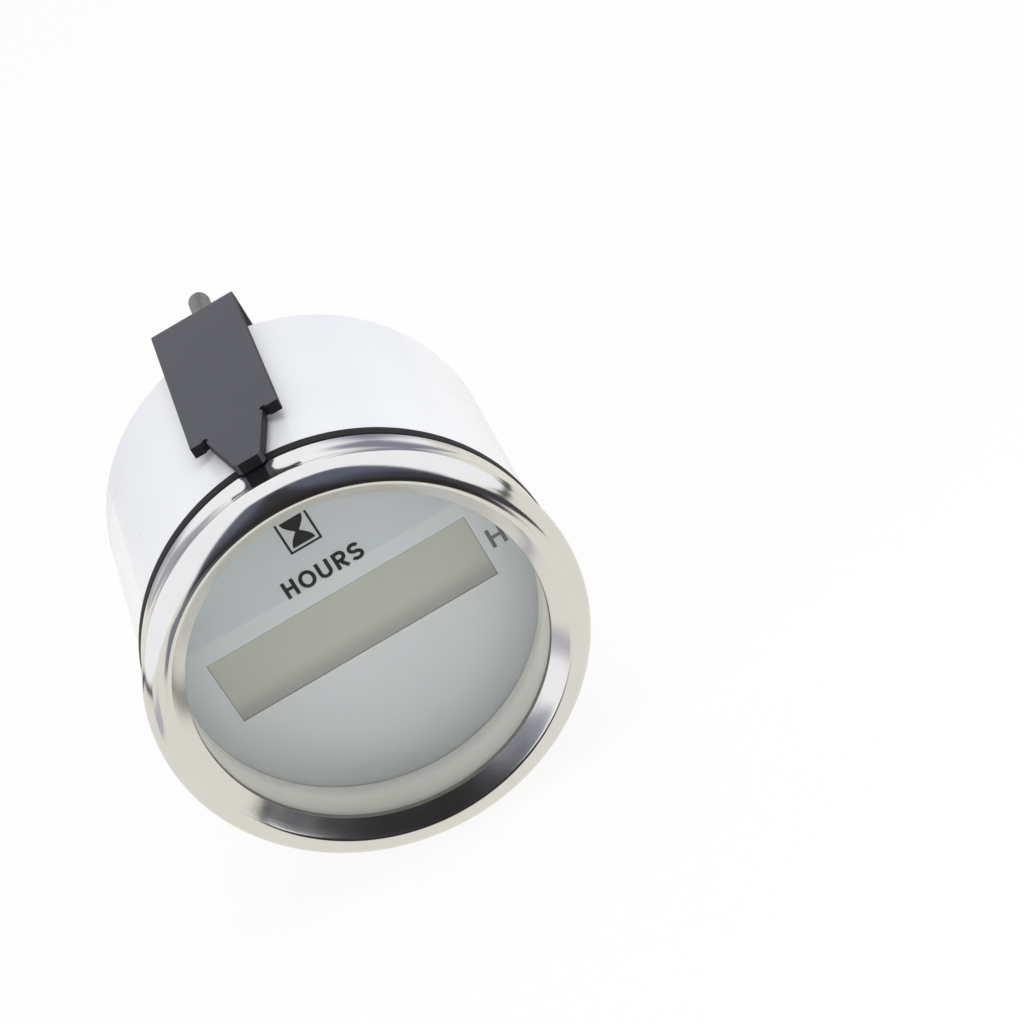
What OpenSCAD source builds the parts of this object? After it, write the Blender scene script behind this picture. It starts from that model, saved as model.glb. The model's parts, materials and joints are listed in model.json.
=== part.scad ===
// Panel hour meter, 52 mm size, with its clamping bracket.
// The dial faces -Y, +Z is twelve o'clock, and the origin lies on the axis in the panel plane,
// which is the rear face of the panel gasket. All sizes are in millimetres.

/* [Case] */
// Outer diameter of the case, which passes through the panel
case_d = 52; // [50:0.5:60]
// Depth of the case behind the panel plane
case_depth = 35.8; // [34:0.2:46]
// Thickness of the case's side wall
case_wall = 2.4; // [1.8:0.1:2.6]
// Thickness of the side wall at the front, round the dial
rim_wall = 1.5; // [1.3:0.05:1.7]
// Thickness of the case's rear wall
back_wall = 2.2; // [1.6:0.1:3]
// Rounding of the case's rear edge
case_edge_r = 0.9; // [0.4:0.1:1.4]

/* [Bezel] */
// Thickness of the bezel's sheet
sheet_t = 0.5; // [0.4:0.05:0.6]
// How far the front crest stands in front of the panel plane
bezel_front = 10.6; // [10:0.1:14]
// Radius of the rounded front roll
roll_r = 2.65; // [2.2:0.05:3]
// How far the roll stands out past the side wall
roll_overhang = 0.7; // [0.4:0.05:1]
// How far the side wall flares out before it meets the roll
wall_flare = 0.5; // [0.3:0.05:0.55]
// Length of the flared stretch of the side wall
flare_l = 3.4; // [2:0.1:4]
// Width of the bevel between the crest and the lens opening
bevel_w = 2.4; // [1.6:0.1:2.6]
// Depth of that bevel
bevel_h = 2; // [1.6:0.05:2.6]
// How deep the rolled rear lip reaches into the case's groove
lip_depth = 0.5; // [0.3:0.05:0.6]

/* [Lens and seals] */
// Thickness of the lens
lens_t = 2.4; // [1.6:0.1:3]
// Thickness of the seal behind the lens
seal_t = 1; // [0.6:0.1:1.4]
// Thickness of the panel gasket
gasket_t = 1.7; // [1:0.1:2.4]

/* [Dial] */
// Distance of the dial's face in front of the panel plane
dial_face = 0.45; // [0.2:0.05:1]
// Thickness of the dial
dial_t = 0.3; // [0.2:0.05:0.8]
// Thickness of the trim ring round the dial
trim_wall = 1.8; // [1.2:0.1:1.9]
// Distance of the display window's ends from the dial's edge
window_margin = 6.4; // [6:0.1:9]
// Height of the display window as a share of its width
window_share = 0.261; // [0.2:0.005:0.27]
// Height of the window's centre over the axis
window_z = 1.05; // [0:0.05:1.5]

/* [Display] */
// How far the glass reaches past the window at each end
glass_margin = 1.3; // [0.8:0.1:1.4]
// Width of the contact ledge along the glass's upper and lower edges
glass_ledge = 1.8; // [1.5:0.1:1.9]
// Thickness of each of the two glass plates
glass_t = 1.1; // [0.7:0.1:1.3]
// Depth of the display holder
holder_h = 7.5; // [6.5:0.1:9]
// Wall of the display holder
holder_wall = 1; // [0.8:0.1:1.1]
// Thickness of the light guide
guide_t = 4.2; // [3:0.1:4.4]

/* [Boards] */
// Thickness of both circuit boards
board_t = 1.6; // [1:0.2:2]
// Distance between the two boards
board_gap = 12.4; // [11.5:0.2:13]
// Distance of the board screws from the boards' edge
screw_inset = 3.8; // [3.4:0.1:4.2]
// Diameter of the board screws
screw_d = 2; // [1.6:0.1:2.2]
// Outer diameter of the spacers and bosses
spacer_d = 4.4; // [4:0.1:5]

/* [Socket] */
// Distance of the socket's centre from the case's right side, seen from the front
socket_inset = 13; // [12.5:0.1:13.5]
// Pitch of the socket's pins
pin_pitch = 3; // [2.5:0.1:3.2]
// Side of a pin's square section
pin_side = 0.64; // [0.5:0.02:0.8]
// Width of the socket's opening
socket_in_w = 5.8; // [5.4:0.1:6.2]
// Height of the socket's opening
socket_in_h = 6.9; // [6.6:0.1:7.4]
// Wall of the socket's shroud
socket_wall = 1; // [0.8:0.1:1.3]
// How deep the socket's rim lies inside the case's rear face
socket_recess = 1; // [0.6:0.1:1.4]
// Free depth between the pin tips and the socket's rim
pin_cover = 4.6; // [4.3:0.1:5]

/* [Clamp] */
// Diameter of the two studs
stud_d = 3; // [2.5:0.1:3.4]
// Distance of each stud from the case's outer wall
stud_inset = 7; // [6:0.1:8]
// Length of stud behind the case
stud_reach = 27.9; // [26:0.1:36]
// Width of the bracket
bracket_w = 12; // [10:0.2:13]
// Thickness of the bracket's plate
bracket_t = 1.5; // [1.2:0.1:1.8]
// Outer radius of the bracket's folds
fold_r = 2.2; // [2:0.1:3]
// Free space between the case and the bracket's cross bar
bracket_space = 5; // [4.5:0.1:7]
// How far the bracket's tips reach in front of the panel plane when no panel is fitted
tip_reach = 2.4; // [1:0.1:3.2]
// Length of the tapered nose on each leg
nose_l = 9.7; // [7:0.1:14]
// Width of the nose at its root
nose_root_w = 8; // [6.5:0.1:9]
// Width of the nose at its tip
tip_w = 3.8; // [2.5:0.1:5]
// Diameter of the thumb nuts
nut_d = 9.5; // [8.5:0.1:11]
// Height of the thumb nuts
nut_h = 5.5; // [4.5:0.1:6]
// Number of grooves in the nuts' knurl
knurl_count = 24; // [16:1:30]

/* [Hidden] */
// Clearances between pieces that fit together
fit_clear = 0.1;
slide_clear = 0.2;
thread_clear = 0.05;
leg_clear = 0.15;
round_fn = 96;
small_fn = 32;

// Radii and axial places of the bezel, lens and case; the front is negative
case_r = case_d / 2;
case_in_r = case_r - case_wall;
rim_in_r = case_r - rim_wall;
wall_r = case_r + fit_clear + sheet_t;
crest_r = wall_r + roll_overhang - roll_r;
roll_y = roll_r - bezel_front;
open_r = crest_r - bevel_w;
open_y = bevel_h - bezel_front;
bevel_shift = sheet_t * norm([bevel_w, bevel_h]) / bevel_w;
flare_r = wall_r + wall_flare;
flare_y = roll_y + sqrt(pow(roll_r, 2) - pow(flare_r - crest_r, 2));
flare_arc_r = (pow(flare_l, 2) + pow(wall_flare, 2)) / (2 * wall_flare);
bezel_rear = -gasket_t;
lens_front = open_y + bevel_shift;
lens_rear = lens_front + lens_t;
lens_r = case_r - 4 * fit_clear;
case_front = lens_rear + seal_t;
groove_front = bezel_rear - sheet_t - fit_clear;
back_in = case_depth - back_wall;

// Dial and display stack
dial_front = -dial_face;
dial_rear = dial_front + dial_t;
dial_r = rim_in_r - fit_clear;
trim_in_r = dial_r - trim_wall;
window_w = 2 * (dial_r - window_margin);
window_h = window_share * window_w;
glass_front = dial_rear + fit_clear;
glass_w = window_w + 2 * glass_margin;
front_glass_h = window_h + 2 * glass_margin + 2 * glass_ledge;
rear_glass_h = front_glass_h - 2 * glass_ledge;
glass_rear = glass_front + 2 * glass_t;
holder_in_w = glass_w + 2 * fit_clear;
holder_in_h = front_glass_h + 2 * fit_clear;
holder_corner = 1.4;
board_front = glass_front + holder_h;
board_rear = board_front + board_t;
strip_t = glass_ledge - 2 * fit_clear;
strip_z = front_glass_h / 2 - glass_ledge / 2;
strip_margin = 1.2;
rib_t = 0.6;
guide_h = rear_glass_h - 2 * rib_t - 4 * fit_clear;
guide_rear = glass_rear + fit_clear + guide_t;
led_size = [1.2, 1.2, 3];
led_x = glass_w / 2 - led_size.x / 2 - fit_clear;
guide_w = 2 * (led_x - led_size.x / 2 - fit_clear);
peg_d = 0.9;
peg_l = board_t + 0.5;
peg_x = holder_in_w / 2 + holder_wall / 2;

// Boards and what stands on them
board_r = case_in_r - 0.8;
screw_place = (board_r - screw_inset) / sqrt(2);
screw_hole_r = screw_d / 2 + fit_clear;
screw_head_d = 1.9 * screw_d;
screw_head_h = 0.7 * screw_d;
power_front = board_rear + board_gap;
power_rear = power_front + board_t;
screw_bite = 6;
link_count = 4;
link_pitch = 2.54;
link_z = -0.68 * board_r;
link_strip_h = 2.5;
lead_t = 0.2;
chip_side = 7;
chip_h = 1.4;
chip_lead_l = 1;
chip_leads = 12;
chip_lead_pitch = 0.5;
chip_gap = 1.5;
chip_reach = chip_side / 2 + chip_lead_l + chip_gap;
memory_size = [4.9, 1.5, 3.9];
memory_at = [-chip_reach - memory_size.x / 2, 3];
memory_lead_pitch = 1.27;
crystal_l = 11;
crystal_w = 4.6;
crystal_h = 3.5;
crystal_at = [chip_reach + crystal_l / 2, 4];
regulator_size = [6.5, 2.3, 6.1];
regulator_at = board_r * [-0.36, -0.24];
capacitor_d = 8;
capacitor_h = 9.5;
capacitor_at = board_r * [-0.26, 0.31];
diode_size = [4.6, 2.3, 3.6];
diode_at = board_r * [0.35, -0.4];

// Socket
socket_x = case_r - socket_inset;
socket_out_w = socket_in_w + 2 * socket_wall;
socket_out_h = socket_in_h + 2 * socket_wall;
socket_rim = case_depth - socket_recess;
socket_floor = power_rear + 1.6;
pin_tip = socket_rim - pin_cover;
pin_tail = 1.5;
latch_w = 2.4;
latch_h = 0.7;
latch_l = 2.2;
key_side = 1.2;

// Clamp
stud_z = case_r - stud_inset;
stud_end = case_depth + stud_reach;
stud_head_d = 1.55 * stud_d;
stud_head_h = 3.6;
stud_boss_d = stud_head_d + 2.8;
stud_root = back_in - stud_head_h - fit_clear;
stud_pad_h = 0.6;
leg_in = wall_r + leg_clear;
leg_out = leg_in + bracket_t;
bar_rear = case_depth + bracket_space + bracket_t;
shoulder_y = nose_l - tip_reach;
tip_straight = 1;
tip_corner = 0.6;
notch_r = 0.45;
stud_hole_r = stud_d / 2 + slide_clear;
washer_t = 0.5;
washer_r = 1.2 * stud_d;
spring_t = 0.8;
spring_r = 1.05 * stud_d;
spring_gap = 0.7;
spring_slant = 30;
washer_rear = bar_rear + washer_t;
spring_rear = washer_rear + spring_t;
nut_front = spring_rear + fit_clear;
nut_collar_h = 1.4;
nut_collar_r = 0.34 * nut_d;
nut_bore_r = stud_d / 2 + thread_clear;
nut_chamfer = 0.5;
knurl_depth = 0.35;

// A turned piece: a profile of radius and axial place, revolved about the gauge's axis
module turned() {
    rotate([-90, 0, 0])
        rotate_extrude($fn = round_fn)
            children();
}

// A plain ring in that profile
module ring_profile(in_r, out_r, front, rear) {
    translate([in_r, front])
        square([out_r - in_r, rear - front]);
}

// A round bar along the axis, from one axial place to another
module rod(r, front, rear, fn = small_fn) {
    translate([0, front, 0])
        rotate([-90, 0, 0])
            cylinder(r = r, h = rear - front, $fn = fn);
}

// A block centred across the axis, from one axial place to another
module block(w, h, front, rear) {
    translate([-w / 2, front, -h / 2])
        cube([w, rear - front, h]);
}

// A plate outline in the dial's own plane, as thick as the two axial places say
module plate(front, rear) {
    translate([0, rear, 0])
        rotate([90, 0, 0])
            linear_extrude(rear - front)
                children();
}

// The four places of the board screws
module at_screws() {
    for (x = [-1, 1], z = [-1, 1])
        translate([x * screw_place, 0, z * screw_place])
            children();
}

// Places along the display's own centre line, which lies over the gauge's axis
module at_window() {
    translate([0, 0, window_z])
        children();
}

module at_stud(side) {
    translate([0, 0, side * stud_z])
        children();
}

module at_link_pins() {
    for (i = [0 : link_count - 1])
        translate([(i - (link_count - 1) / 2) * link_pitch, 0, link_z])
            children();
}

module at_socket_pins() {
    for (x = [-1, 1], z = [-1, 1])
        translate([socket_x + x * pin_pitch / 2, 0, z * pin_pitch / 2])
            children();
}

module case_profile() {
    difference() {
        union() {
            ring_profile(0, case_r, case_front, case_depth - case_edge_r);
            ring_profile(0, case_r - case_edge_r, case_front, case_depth);
            translate([case_r - case_edge_r, case_depth - case_edge_r])
                circle(case_edge_r, $fn = round_fn);
        }
        ring_profile(0, rim_in_r, case_front - 1, dial_rear);
        ring_profile(0, case_in_r, dial_rear - 1, back_in);
        ring_profile(case_r - lip_depth, case_r + 1, groove_front, bezel_rear);
    }
}

module case() {
    color("white")
        difference() {
            union() {
                turned()
                    case_profile();
                at_screws()
                    rod(spacer_d / 2, power_rear, back_in + back_wall / 2);
                for (side = [-1, 1])
                    at_stud(side) {
                        rod(stud_boss_d / 2, stud_root, back_in + back_wall / 2);
                        rod(stud_boss_d / 2, back_in, case_depth + stud_pad_h);
                    }
            }
            at_screws()
                rod(screw_d / 2 + thread_clear, power_rear - 1, power_rear + screw_bite + 1);
            for (side = [-1, 1])
                at_stud(side) {
                    rod(stud_head_d / 2 + thread_clear, stud_root - 1, back_in);
                    rod(stud_d / 2 + thread_clear, back_in - 1, case_depth + stud_pad_h + 1);
                }
            translate([socket_x, 0, 0])
                block(socket_out_w + 2 * slide_clear, socket_out_h + 2 * slide_clear, back_in - 1,
                    case_depth + 1);
            translate([socket_x, 0, socket_out_h / 2])
                block(latch_w + 2 * slide_clear, 2 * (latch_h + slide_clear), back_in - 1, case_depth + 1);
        }
}

// The outline that the bezel's sheet encloses, set in from the outer surface by the given amount
module bezel_outline(inset) {
    ring_profile(0, wall_r - inset, roll_y, bezel_rear - inset);
    difference() {
        ring_profile(wall_r - inset - 1, flare_r - inset, roll_y, flare_y + flare_l);
        translate([wall_r + flare_arc_r, flare_y + flare_l])
            circle(flare_arc_r + inset, $fn = 4 * round_fn);
        ring_profile(flare_r - inset - 1, flare_r, roll_y - 1, flare_y - inset);
    }
    translate([crest_r, roll_y])
        circle(roll_r - inset, $fn = round_fn);
    bevel_back = inset == 0 ? 0 : bevel_shift;
    polygon([
        [0, roll_y],
        [crest_r, roll_y],
        [crest_r, -bezel_front + bevel_back],
        [open_r, open_y + bevel_back],
        [0, open_y + bevel_back]
    ]);
}

module bezel() {
    color("silver")
        turned()
            difference() {
                bezel_outline(0);
                bezel_outline(sheet_t);
                ring_profile(0, open_r, -bezel_front - 1, lens_front + 1);
                ring_profile(0, case_r - lip_depth + fit_clear, lens_front, 1);
            }
}

module lens() {
    color("azure", 0.4)
        turned()
            ring_profile(0, lens_r, lens_front, lens_rear);
}

module lens_seal() {
    color("dimgray")
        turned()
            ring_profile(rim_in_r, lens_r, lens_rear, case_front);
}

module panel_gasket() {
    color([0.1, 0.1, 0.1])
        turned()
            ring_profile(case_r + thread_clear, wall_r, bezel_rear, 0);
}

// A short tube that stands on the dial's edge and carries the lens
module trim_ring() {
    color("gainsboro")
        turned()
            ring_profile(trim_in_r, dial_r, lens_rear, dial_front);
}

module dial() {
    color("lightgray")
        difference() {
            rod(dial_r, dial_front, dial_rear, round_fn);
            at_window()
                block(window_w, window_h, dial_front - 1, dial_rear + 1);
        }
}

// Two plates of glass: the front one is taller, and its bared ledges take the contact strips
module lcd_glass() {
    color("darkseagreen")
        at_window() {
            block(glass_w, front_glass_h, glass_front, glass_front + glass_t);
            block(glass_w, rear_glass_h, glass_front + glass_t, glass_rear);
        }
}

// A rectangle with cut corners
module holder_outline(w, h, corner) {
    polygon([
        [-w / 2, corner - h / 2],
        [corner - w / 2, -h / 2],
        [w / 2 - corner, -h / 2],
        [w / 2, corner - h / 2],
        [w / 2, h / 2 - corner],
        [w / 2 - corner, h / 2],
        [corner - w / 2, h / 2],
        [-w / 2, h / 2 - corner]
    ]);
}

// A frame with two inner ribs, which part the contact strips from the light guide
module display_holder() {
    color("whitesmoke")
        at_window() {
            difference() {
                plate(glass_front, board_front)
                    holder_outline(holder_in_w + 2 * holder_wall, holder_in_h + 2 * holder_wall,
                        holder_corner);
                block(holder_in_w, holder_in_h, glass_front - 1, board_front + 1);
            }
            for (side = [-1, 1]) {
                translate([0, 0, side * (rear_glass_h - rib_t) / 2])
                    block(holder_in_w + holder_wall, rib_t, glass_rear, board_front);
                translate([side * peg_x, 0, 0])
                    rod(peg_d / 2, board_front - holder_wall, board_front + peg_l);
            }
        }
}

module contact_strip(side) {
    color("slategray")
        at_window()
            translate([0, 0, side * strip_z])
                block(window_w + strip_margin, strip_t, glass_front + glass_t, board_front);
}

module upper_contact_strip() {
    contact_strip(1);
}

module lower_contact_strip() {
    contact_strip(-1);
}

module light_guide() {
    color("ivory")
        at_window()
            block(guide_w, guide_h, glass_rear + fit_clear, guide_rear);
}

module backlight_leds() {
    color("khaki")
        at_window()
            for (side = [-1, 1])
                translate([side * led_x, 0, 0])
                    block(led_size.x, led_size.z, board_front - led_size.y, board_front);
}

module display_board() {
    color("darkgreen")
        difference() {
            rod(board_r, board_front, board_rear, round_fn);
            at_screws()
                rod(screw_hole_r, board_front - 1, board_rear + 1);
            at_link_pins()
                block(pin_side + 2 * fit_clear, pin_side + 2 * fit_clear, board_front - 1, board_rear + 1);
            at_window()
                for (side = [-1, 1])
                    translate([side * peg_x, 0, 0])
                        rod(peg_d / 2 + fit_clear, board_front - 1, board_rear + 1);
        }
}

// A square chip with leads on all four sides, on the rear of the display board
module microcontroller() {
    color([0.15, 0.15, 0.17]) {
        block(chip_side, chip_side, board_rear + lead_t, board_rear + chip_h);
        for (turn = [0, 90, 180, 270])
            rotate([0, turn, 0])
                for (i = [0 : chip_leads - 1])
                    translate([
                        (i - (chip_leads - 1) / 2) * chip_lead_pitch,
                        0,
                        (chip_side + chip_lead_l) / 2 - lead_t
                    ])
                        block(lead_t, chip_lead_l + 2 * lead_t, board_rear, board_rear + 2 * lead_t);
    }
}

module memory_chip() {
    color([0.15, 0.15, 0.17])
        translate([memory_at.x, 0, memory_at.y]) {
            block(memory_size.x, memory_size.z, board_rear + lead_t, board_rear + memory_size.y);
            for (side = [-1, 1], i = [-1.5 : 1 : 1.5])
                translate([i * memory_lead_pitch, 0, side * memory_size.z / 2])
                    block(2 * lead_t, 2 * chip_lead_l, board_rear, board_rear + 2 * lead_t);
        }
}

// A flat can with round ends on a thin base
module crystal() {
    color("silver")
        translate([crystal_at.x, 0, crystal_at.y])
            for (layer = [[crystal_w, 0, 0.6], [crystal_w - 0.8, 0.6, crystal_h]]) {
                block(crystal_l - crystal_w, layer[0], board_rear + layer[1], board_rear + layer[2]);
                for (side = [-1, 1])
                    translate([side * (crystal_l - crystal_w) / 2, 0, 0])
                        rod(layer[0] / 2, board_rear + layer[1], board_rear + layer[2]);
            }
}

module board_spacers() {
    color("gainsboro")
        at_screws()
            difference() {
                rod(spacer_d / 2, board_rear, power_front);
                rod(screw_hole_r, board_rear - 1, power_front + 1);
            }
}

module board_screws() {
    color("silver")
        at_screws()
            difference() {
                union() {
                    rod(screw_head_d / 2, board_front - screw_head_h, board_front);
                    rod(screw_d / 2, board_front - screw_head_h / 2, power_rear + screw_bite);
                }
                for (turn = [0, 90])
                    rotate([0, turn, 0])
                        block(0.6 * screw_head_d, 0.2 * screw_d, board_front - 2 * screw_head_h,
                            board_front - screw_head_h / 2);
            }
}

module link_strips() {
    color([0.12, 0.12, 0.12])
        for (front = [board_rear, power_front - link_strip_h])
            difference() {
                translate([0, 0, link_z])
                    block(link_count * link_pitch, link_pitch, front, front + link_strip_h);
                at_link_pins()
                    block(pin_side + fit_clear, pin_side + fit_clear, front - 1, front + link_strip_h + 1);
            }
}

module link_pins() {
    color("gold")
        at_link_pins()
            block(pin_side, pin_side, board_front - pin_tail, power_rear + pin_tail);
}

module power_board() {
    color("darkgreen")
        difference() {
            rod(board_r, power_front, power_rear, round_fn);
            at_screws()
                rod(screw_hole_r, power_front - 1, power_rear + 1);
            at_link_pins()
                block(pin_side + 2 * fit_clear, pin_side + 2 * fit_clear, power_front - 1, power_rear + 1);
            at_socket_pins()
                block(pin_side + 2 * fit_clear, pin_side + 2 * fit_clear, power_front - 1, power_rear + 1);
        }
}

// A flat pack with a metal tab on one side and two legs on the other
module voltage_regulator() {
    color([0.15, 0.15, 0.17])
        translate([regulator_at.x, 0, regulator_at.y]) {
            block(regulator_size.x, regulator_size.z, power_front - regulator_size.y, power_front - lead_t);
            translate([0, 0, regulator_size.z / 2])
                block(0.8 * regulator_size.x, 2 * chip_lead_l, power_front - 2 * lead_t, power_front);
            for (side = [-1, 1])
                translate([side * regulator_size.x / 3, 0, -regulator_size.z / 2])
                    block(4 * lead_t, 3 * chip_lead_l, power_front - 2 * lead_t, power_front);
        }
}

// A can with a rolled groove above its square base
module reservoir_capacitor() {
    color("midnightblue")
        translate([capacitor_at.x, 0, capacitor_at.y])
            difference() {
                union() {
                    rod(capacitor_d / 2, power_front - capacitor_h, power_front - lead_t, round_fn);
                    block(capacitor_d, capacitor_d, power_front - 1, power_front);
                }
                translate([0, power_front - 2.2, 0])
                    rotate([90, 0, 0])
                        rotate_extrude($fn = round_fn)
                            translate([capacitor_d / 2, 0])
                                circle(0.4, $fn = small_fn);
            }
}

module protection_diode() {
    color([0.15, 0.15, 0.17])
        translate([diode_at.x, 0, diode_at.y]) {
            block(diode_size.x, diode_size.z, power_front - diode_size.y, power_front - lead_t);
            for (side = [-1, 1])
                translate([side * diode_size.x / 2, 0, 0])
                    block(1.2, 0.6 * diode_size.z, power_front - 2 * lead_t, power_front);
        }
}

// An open shroud with a keyed corner and a latch ramp, as deep as the case leaves room for
module socket_shroud() {
    color([0.13, 0.13, 0.13])
        translate([socket_x, 0, 0])
            difference() {
                union() {
                    block(socket_out_w, socket_out_h, power_rear, socket_rim);
                    translate([-latch_w / 2, socket_rim, socket_out_h / 2])
                        rotate([90, 0, 90])
                            linear_extrude(latch_w)
                                polygon([[0, 0], [-latch_l, 0], [-latch_l, latch_h]]);
                }
                difference() {
                    block(socket_in_w, socket_in_h, socket_floor, socket_rim + 1);
                    for (side = [-1, 1])
                        translate([side * socket_in_w / 2, 0, -socket_in_h / 2])
                            rotate([0, 45, 0])
                                block(key_side, key_side, socket_floor, socket_rim);
                }
                translate([-socket_x, 0, 0])
                    at_socket_pins()
                        block(pin_side + fit_clear, pin_side + fit_clear, power_rear - 1, socket_floor + 1);
            }
}

module socket_pins() {
    color("gold")
        at_socket_pins()
            block(pin_side, pin_side, power_front - pin_tail, pin_tip);
}

// A threaded stud whose wide head is moulded into the case's boss
module stud(side) {
    color("darkgray")
        at_stud(side)
            turned() {
                ring_profile(0, stud_head_d / 2, stud_root, back_in - fit_clear);
                polygon([
                    [0, stud_root],
                    [stud_d / 2, stud_root],
                    [stud_d / 2, stud_end - stud_d / 6],
                    [stud_d / 3, stud_end],
                    [0, stud_end]
                ]);
            }
}

module upper_stud() {
    stud(1);
}

module lower_stud() {
    stud(-1);
}

// The bracket's side view: a band folded to a U, inset by the plate's thickness for its inside
module fold_outline(inset) {
    half = leg_out - inset;
    rear = bar_rear - inset;
    r = max(fold_r - inset, fit_clear);
    translate([-tip_reach - 1, -half])
        square([rear - r + tip_reach + 1, 2 * half]);
    translate([-tip_reach - 1, -half + r])
        square([rear + tip_reach + 1, 2 * (half - r)]);
    for (side = [-1, 1])
        translate([rear - r, side * (half - r)])
            circle(r, $fn = round_fn);
}

// The bracket's top view: a plain band with shoulders, a tapered nose and a short tip with cut corners
module leg_outline() {
    difference() {
        polygon([
            [tip_corner - tip_w / 2, -tip_reach],
            [tip_w / 2 - tip_corner, -tip_reach],
            [tip_w / 2, tip_corner - tip_reach],
            [tip_w / 2, tip_straight - tip_reach],
            [nose_root_w / 2, shoulder_y],
            [bracket_w / 2, shoulder_y],
            [bracket_w / 2, bar_rear],
            [-bracket_w / 2, bar_rear],
            [-bracket_w / 2, shoulder_y],
            [-nose_root_w / 2, shoulder_y],
            [-tip_w / 2, tip_straight - tip_reach],
            [-tip_w / 2, tip_corner - tip_reach]
        ]);
        for (side = [-1, 1])
            translate([side * nose_root_w / 2, shoulder_y])
                circle(notch_r, $fn = small_fn);
    }
}

module clamp_bracket() {
    color("dimgray")
        difference() {
            intersection() {
                rotate([90, 0, 90])
                    translate([0, 0, -bracket_w])
                        linear_extrude(2 * bracket_w)
                            difference() {
                                fold_outline(0);
                                fold_outline(bracket_t);
                            }
                translate([0, 0, -leg_out - 1])
                    linear_extrude(2 * leg_out + 2)
                        leg_outline();
            }
            for (side = [-1, 1])
                at_stud(side)
                    rod(stud_hole_r, bar_rear - bracket_t - 1, bar_rear + 1);
        }
}

module flat_washer(side) {
    color("silver")
        at_stud(side)
            turned()
                ring_profile(stud_hole_r, washer_r, bar_rear, washer_rear);
}

module upper_flat_washer() {
    flat_washer(1);
}

module lower_flat_washer() {
    flat_washer(-1);
}

// A ring with a slanting split
module spring_washer(side) {
    color("gray")
        at_stud(side)
            difference() {
                turned()
                    ring_profile(stud_hole_r, spring_r, washer_rear, spring_rear);
                translate([(stud_hole_r + spring_r) / 2, (washer_rear + spring_rear) / 2, 0])
                    rotate([spring_slant, 0, 0])
                        cube([spring_r, 3 * spring_t, spring_gap], center = true);
            }
}

module upper_spring_washer() {
    spring_washer(1);
}

module lower_spring_washer() {
    spring_washer(-1);
}

// A thumb nut: a plain collar towards the bracket and a knurled grip with chamfered edges
module thumb_nut(side) {
    grip_front = nut_front + nut_collar_h;
    rear = nut_front + nut_h;
    grip_r = nut_d / 2;
    color("silver")
        at_stud(side)
            difference() {
                turned() {
                    ring_profile(nut_bore_r, nut_collar_r, nut_front, grip_front + nut_chamfer);
                    polygon([
                        [nut_bore_r, grip_front],
                        [grip_r - nut_chamfer, grip_front],
                        [grip_r, grip_front + nut_chamfer],
                        [grip_r, rear - nut_chamfer],
                        [grip_r - nut_chamfer, rear],
                        [nut_bore_r + nut_chamfer, rear],
                        [nut_bore_r, rear - nut_chamfer]
                    ]);
                }
                for (i = [0 : knurl_count - 1])
                    rotate([0, i * 360 / knurl_count, 0])
                        translate([grip_r, 0, 0])
                            rotate([0, 45, 0])
                                block(sqrt(2) * knurl_depth, sqrt(2) * knurl_depth, grip_front - 1, rear + 1);
            }
}

module upper_nut() {
    thumb_nut(1);
}

module lower_nut() {
    thumb_nut(-1);
}

case();
bezel();
lens();
lens_seal();
panel_gasket();
trim_ring();
dial();
lcd_glass();
display_holder();
upper_contact_strip();
lower_contact_strip();
light_guide();
backlight_leds();
display_board();
microcontroller();
memory_chip();
crystal();
board_spacers();
board_screws();
link_strips();
link_pins();
power_board();
voltage_regulator();
reservoir_capacitor();
protection_diode();
socket_shroud();
socket_pins();
upper_stud();
lower_stud();
clamp_bracket();
upper_flat_washer();
lower_flat_washer();
upper_spring_washer();
lower_spring_washer();
upper_nut();
lower_nut();
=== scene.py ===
# %% [markdown]
# A panel hour meter: a white cup with a polished steel bezel, a blank display behind flat glass, and a
# folded clamp drawn up by two thumb nuts. The solids come from a packed model, which is only ever dressed:
# a solid is kept and given a finish, or a finer mesh of the same size stands in its place.

# %% Load the solids
import json
import math

import bmesh
import bpy
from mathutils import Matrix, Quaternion, Vector

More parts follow.
